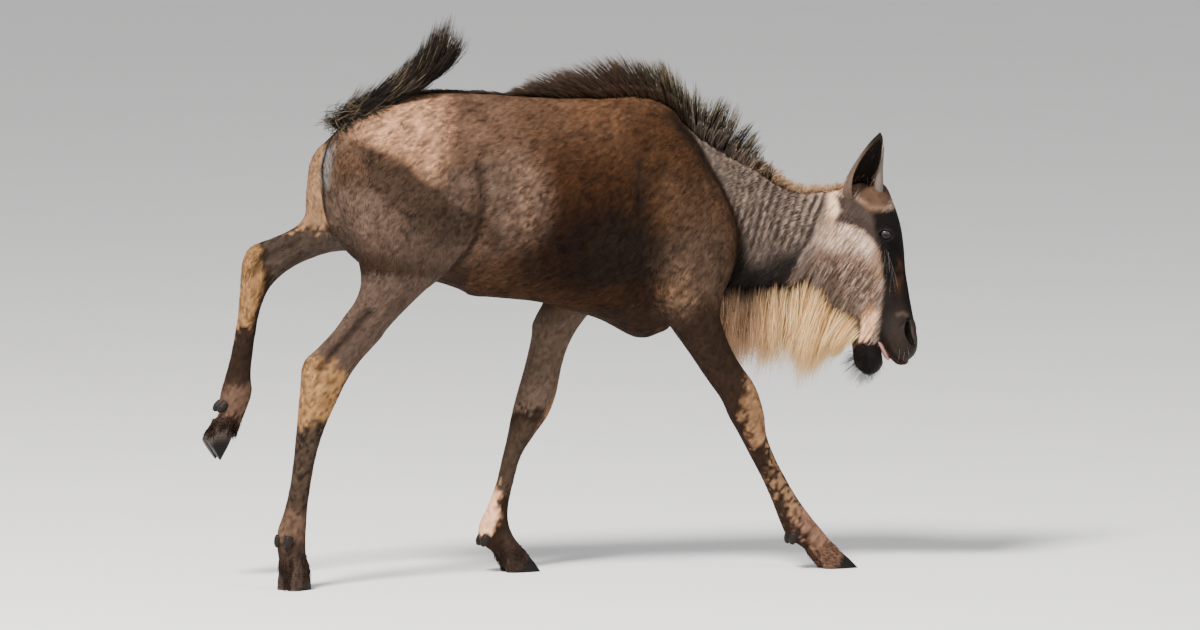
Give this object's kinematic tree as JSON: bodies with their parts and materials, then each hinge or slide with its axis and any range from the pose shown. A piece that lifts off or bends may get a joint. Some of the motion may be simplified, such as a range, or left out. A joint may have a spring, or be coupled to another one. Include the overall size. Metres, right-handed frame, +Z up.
{
  "type": "wildebeest calf",
  "caption": "Life-size young wildebeest in a canter stance, standing on its floor hooves with a hind leg lifted and its tail thrown over the croup.",
  "frame": {"origin": "on the floor under the middle of the bounding box", "axes": "+X to the front of the animal, +Y to its left, +Z up"},
  "size_m": [1.4436, 0.312, 1.1331],
  "materials": {
    "trunk_coat": "matte",
    "neck_coat": "matte",
    "face_coat": "matte",
    "leg_coat": "matte",
    "dark_hair": "matte",
    "pale_hair": "matte",
    "horn": "satin",
    "hoof": "satin",
    "eye": "gloss",
    "tongue": "satin"
  },
  "bodies": {
    "root": {"torso": "trunk_coat", "neck": "neck_coat", "head": "face_coat", "mane": "dark_hair", "beard": "pale_hair", "tail": "dark_hair", "tongue": "tongue", "ear_left": "face_coat", "ear_right": "face_coat", "eye_left": "eye", "eye_right": "eye", "horn_left": "horn", "horn_right": "horn", "fore_right_forearm": "leg_coat", "fore_right_cannon": "leg_coat", "fore_right_foot": "leg_coat", "fore_right_hoof_inner": "hoof", "fore_right_hoof_outer": "hoof", "fore_right_dewclaw_inner": "hoof", "fore_right_dewclaw_outer": "hoof", "fore_left_forearm": "leg_coat", "fore_left_cannon": "leg_coat", "fore_left_foot": "leg_coat", "fore_left_hoof_inner": "hoof", "fore_left_hoof_outer": "hoof", "fore_left_dewclaw_inner": "hoof", "fore_left_dewclaw_outer": "hoof", "hind_right_shank": "leg_coat", "hind_right_cannon": "leg_coat", "hind_right_foot": "leg_coat", "hind_right_hoof_inner": "hoof", "hind_right_hoof_outer": "hoof", "hind_right_dewclaw_inner": "hoof", "hind_right_dewclaw_outer": "hoof", "hind_left_shank": "leg_coat", "hind_left_cannon": "leg_coat", "hind_left_foot": "leg_coat", "hind_left_hoof_inner": "hoof", "hind_left_hoof_outer": "hoof", "hind_left_dewclaw_inner": "hoof", "hind_left_dewclaw_outer": "hoof"}
  },
  "joints": []
}
